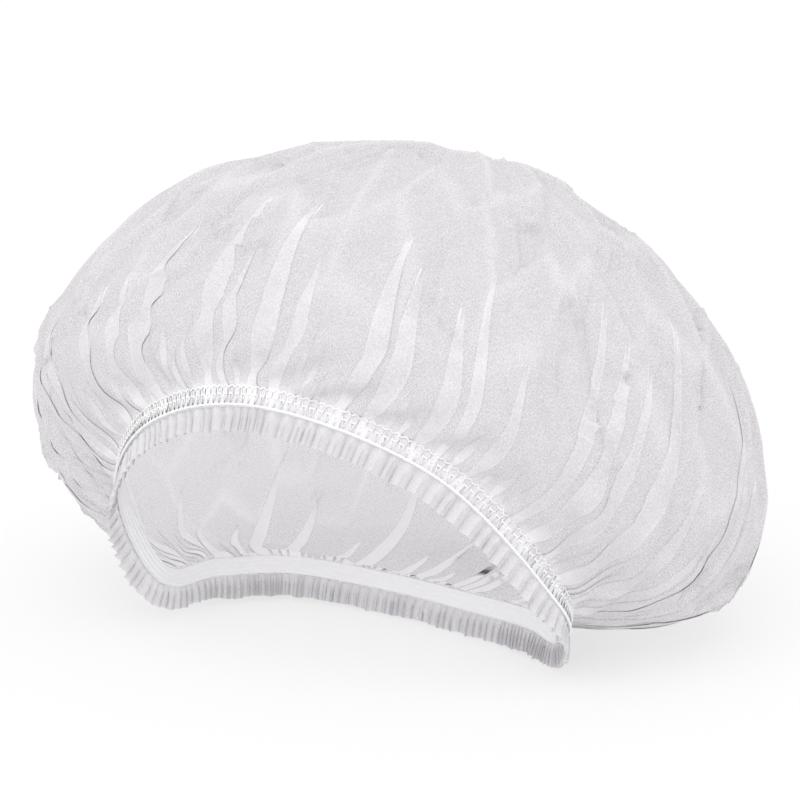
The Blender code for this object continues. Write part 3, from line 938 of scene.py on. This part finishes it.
# Painted shade: the ruffle's two base shades are kept low for the shade in its valleys, and the ridge mark
# paints its tops paler.
frill.data.materials.append(web_material(
    "frill_cloth", dark=(0.68, 0.67, 0.69, 1.0), light=(0.79, 0.78, 0.80, 1.0),
    gaps=0.10, glow=0.40, grain=0.2, fibre_scale=2400.0, painted_light_shares=(0.5, 0.0, 0.0),
))
tape.data.materials.append(web_material(
    "white_elastic", dark=(0.95, 0.945, 0.955, 1.0), light=(0.985, 0.98, 0.985, 1.0),
    gaps=0.0, glow=0.1, grain=0.5, fibre_scale=1600.0,
))
stitches.data.materials.append(web_material(
    "overlock_thread", dark=(0.97, 0.97, 0.975, 1.0), light=(0.99, 0.99, 0.99, 1.0),
    gaps=0.0, glow=0.0, grain=0.2, fibre_scale=4000.0,
))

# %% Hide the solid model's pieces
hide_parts("crown")
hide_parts("hem_frill")
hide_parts("elastic_band")

# %% [markdown]
# The floor is plain and pale, and so bright that it almost reaches white, as in a catalogue picture.
# The paper gives off a little light of its own, which keeps the shadows faint. One broad, soft sun lights
# the front, and the sky fills the rest evenly.

# %% Light the floor and the cap
FLOOR_SIZE = 30.0
floor_mesh = bpy.data.meshes.new("floor")
half = 0.5 * FLOOR_SIZE
floor_corners = [(-half, -half, 0.0), (half, -half, 0.0), (half, half, 0.0), (-half, half, 0.0)]
floor_mesh.from_pydata(floor_corners, [], [(0, 1, 2, 3)])
floor = bpy.data.objects.new("floor", floor_mesh)
floor.location.z = -0.0002
bpy.context.scene.collection.objects.link(floor)
paper, paper_tree = start_material("pale_floor")
paper_shader = add_node(paper_tree, "ShaderNodeBsdfPrincipled")
paper_shader.inputs["Base Color"].default_value = (0.36, 0.36, 0.36, 1.0)
paper_shader.inputs["Emission Color"].default_value = (1.0, 1.0, 1.0, 1.0)
paper_shader.inputs["Emission Strength"].default_value = 0.58
paper_shader.inputs["Roughness"].default_value = 0.95
paper_shader.inputs["Specular IOR Level"].default_value = 0.0
paper_end = paper_tree.nodes.new("ShaderNodeOutputMaterial")
paper_tree.links.new(paper_shader.outputs[0], paper_end.inputs["Surface"])
floor_mesh.materials.append(paper)

KEY_FROM = Vector((0.15, -1.0, 1.2))
KEY_STRENGTH = 0.9
KEY_SPREAD = math.radians(70.0)
SKY_STRENGTH = 1.0
key_data = bpy.data.lights.new("key light", "SUN")
key_data.energy = KEY_STRENGTH
key_data.angle = KEY_SPREAD
key = bpy.data.objects.new("key light", key_data)
key.rotation_euler = (-KEY_FROM).to_track_quat("-Z", "Y").to_euler()
bpy.context.scene.collection.objects.link(key)
sky = bpy.data.worlds.new("sky")
sky.use_nodes = True
sky.node_tree.nodes["Background"].inputs["Color"].default_value = (1.0, 1.0, 1.0, 1.0)
sky.node_tree.nodes["Background"].inputs["Strength"].default_value = SKY_STRENGTH
bpy.context.scene.world = sky
bpy.context.scene.view_settings.view_transform = "Standard"
